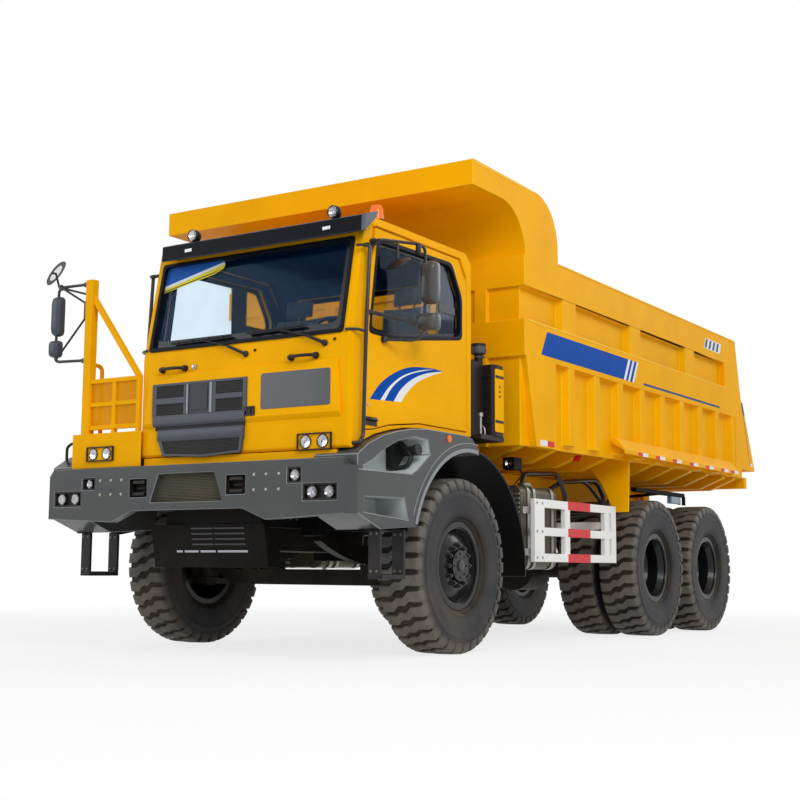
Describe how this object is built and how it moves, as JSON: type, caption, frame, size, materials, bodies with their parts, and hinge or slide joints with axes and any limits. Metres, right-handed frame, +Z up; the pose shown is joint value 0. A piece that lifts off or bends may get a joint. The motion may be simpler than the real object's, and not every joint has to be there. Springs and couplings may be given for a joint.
{
  "type": "mining dump truck",
  "caption": "Rigid mining dump truck with an offset cab, a deck beside it, a ribbed tipping bed with a canopy, twin rear wheels, a hoist and a steered front axle.",
  "frame": {"origin": "on the ground, in the middle of the truck's length and width", "axes": "+Y from the front bumper to the tail, +X towards the truck's left side, +Z up"},
  "size_m": [3.444, 8.4728, 3.91],
  "materials": {
    "yellow_paint": "gloss paint",
    "grey_paint": "satin paint",
    "chassis_black": "satin paint",
    "driveline_steel": "painted casting",
    "tyre_rubber": "moulded tread",
    "rim_black": "satin paint",
    "clear_glass": "polished",
    "lamp_lens": "clear lens over a bright bowl",
    "black_plastic": "fine moulded grain",
    "dark_mesh": "moulded mesh",
    "white_paint": "gloss paint with red bands",
    "tank_paint": "painted steel plate",
    "hoist_chrome": "ground and plated",
    "seat_cloth": "woven",
    "visor_plastic": "tinted"
  },
  "bodies": {
    "chassis": {"frame_rails": "chassis_black", "cross_members": "chassis_black", "front_axle_beam": "driveline_steel", "rear_axles": "driveline_steel", "leaf_springs": "chassis_black", "drive_shafts": "driveline_steel", "engine_block": "driveline_steel", "front_underguard": "chassis_black", "side_tanks": "tank_paint", "side_guards": "white_paint", "front_bumper": "grey_paint", "fenders": "grey_paint", "inner_mudguards": "black_plastic", "deck_platform": "yellow_paint", "deck_railing": "yellow_paint", "access_steps": "chassis_black", "cab_shell": "yellow_paint", "cab_glass": "clear_glass", "sun_visor": "visor_plastic", "seats": "seat_cloth", "dashboard": "black_plastic", "front_grille": "dark_mesh", "headlamps": "lamp_lens", "right_mirrors": "black_plastic", "air_cleaner": "black_plastic"},
    "left_door": {"left_door": "yellow_paint", "left_door_glass": "clear_glass", "left_mirrors": "black_plastic"},
    "right_door": {"right_door": "yellow_paint", "right_door_glass": "clear_glass"},
    "left_knuckle": {"left_knuckle": "driveline_steel"},
    "right_knuckle": {"right_knuckle": "driveline_steel"},
    "tie_rod": {"tie_rod": "driveline_steel"},
    "front_left_wheel": {"front_left_tyre": "tyre_rubber", "front_left_rim": "rim_black"},
    "front_right_wheel": {"front_right_tyre": "tyre_rubber", "front_right_rim": "rim_black"},
    "middle_left_wheels": {"middle_left_tyres": "tyre_rubber", "middle_left_rims": "rim_black"},
    "middle_right_wheels": {"middle_right_tyres": "tyre_rubber", "middle_right_rims": "rim_black"},
    "rear_left_wheels": {"rear_left_tyres": "tyre_rubber", "rear_left_rims": "rim_black"},
    "rear_right_wheels": {"rear_right_tyres": "tyre_rubber", "rear_right_rims": "rim_black"},
    "dump_bed": {"bed_shell": "yellow_paint", "bed_sills": "yellow_paint", "bed_bearers": "yellow_paint"},
    "tailgate": {"tailgate": "yellow_paint"},
    "hoist_barrels": {"hoist_barrels": "chassis_black"},
    "hoist_stages": {"hoist_stages": "hoist_chrome"},
    "hoist_rods": {"hoist_rods": "hoist_chrome"}
  },
  "joints": [
    {"name": "steering", "type": "hinge", "parent": "chassis", "child": "left_knuckle", "pos_m": [1.12, -2.6, 0.685], "axis": [0, 0, 1], "range_deg": [-32, 32]},
    {"name": "right_steering", "type": "hinge", "parent": "chassis", "child": "right_knuckle", "pos_m": [-1.12, -2.6, 0.685], "axis": [0, 0, 1], "range_deg": [-32, 32]},
    {"name": "tie_rod_pivot", "type": "hinge", "parent": "left_knuckle", "child": "tie_rod", "pos_m": [1.12, -2.39, 0.599], "axis": [0, 0, 1], "range_deg": [-32, 32]},
    {"name": "front_left_roll", "type": "hinge", "parent": "left_knuckle", "child": "front_left_wheel", "pos_m": [1.28, -2.6, 0.685], "axis": [1, 0, 0], "continuous": true},
    {"name": "front_right_roll", "type": "hinge", "parent": "right_knuckle", "child": "front_right_wheel", "pos_m": [-1.28, -2.6, 0.685], "axis": [1, 0, 0], "continuous": true},
    {"name": "middle_left_roll", "type": "hinge", "parent": "chassis", "child": "middle_left_wheels", "pos_m": [1.15, 1.2, 0.685], "axis": [1, 0, 0], "continuous": true},
    {"name": "middle_right_roll", "type": "hinge", "parent": "chassis", "child": "middle_right_wheels", "pos_m": [-1.15, 1.2, 0.685], "axis": [1, 0, 0], "continuous": true},
    {"name": "rear_left_roll", "type": "hinge", "parent": "chassis", "child": "rear_left_wheels", "pos_m": [1.15, 2.7, 0.685], "axis": [1, 0, 0], "continuous": true},
    {"name": "rear_right_roll", "type": "hinge", "parent": "chassis", "child": "rear_right_wheels", "pos_m": [-1.15, 2.7, 0.685], "axis": [1, 0, 0], "continuous": true},
    {"name": "left_door_hinge", "type": "hinge", "parent": "chassis", "child": "left_door", "pos_m": [1.425, -2.475, 2.2], "axis": [0, 0, 1], "range_deg": [0, 75]},
    {"name": "right_door_hinge", "type": "hinge", "parent": "chassis", "child": "right_door", "pos_m": [-0.575, -2.475, 2.2], "axis": [0, 0, -1], "range_deg": [0, 75]},
    {"name": "bed_tilt", "type": "hinge", "parent": "chassis", "child": "dump_bed", "pos_m": [0, 3.3, 1.33], "axis": [-1, 0, 0], "range_deg": [0, 48]},
    {"name": "tailgate_hinge", "type": "hinge", "parent": "dump_bed", "child": "tailgate", "pos_m": [0, 3.5, 3.24], "axis": [1, 0, 0], "range_deg": [0, 60]},
    {"name": "hoist_swing", "type": "hinge", "parent": "chassis", "child": "hoist_barrels", "pos_m": [0, 1.95, 0.62], "axis": [-1, 0, 0], "range_deg": [0, 36.14]},
    {"name": "hoist_first_stage", "type": "slide", "parent": "hoist_barrels", "child": "hoist_stages", "axis": [0, -0.507, 0.8619], "range_m": [0, 0.6017]},
    {"name": "hoist_second_stage", "type": "slide", "parent": "hoist_stages", "child": "hoist_rods", "axis": [0, -0.507, 0.8619], "range_m": [0, 0.6017]}
  ],
  "couplings": [
    {"joint": "right_steering", "follows": "steering", "ratio": 1},
    {"joint": "tie_rod_pivot", "follows": "steering", "ratio": -1},
    {"joint": "hoist_swing", "follows": "bed_tilt", "ratio": 0.75275},
    {"joint": "hoist_first_stage", "follows": "bed_tilt", "m_per_rad": 0.71801},
    {"joint": "hoist_second_stage", "follows": "bed_tilt", "m_per_rad": 0.71801}
  ]
}
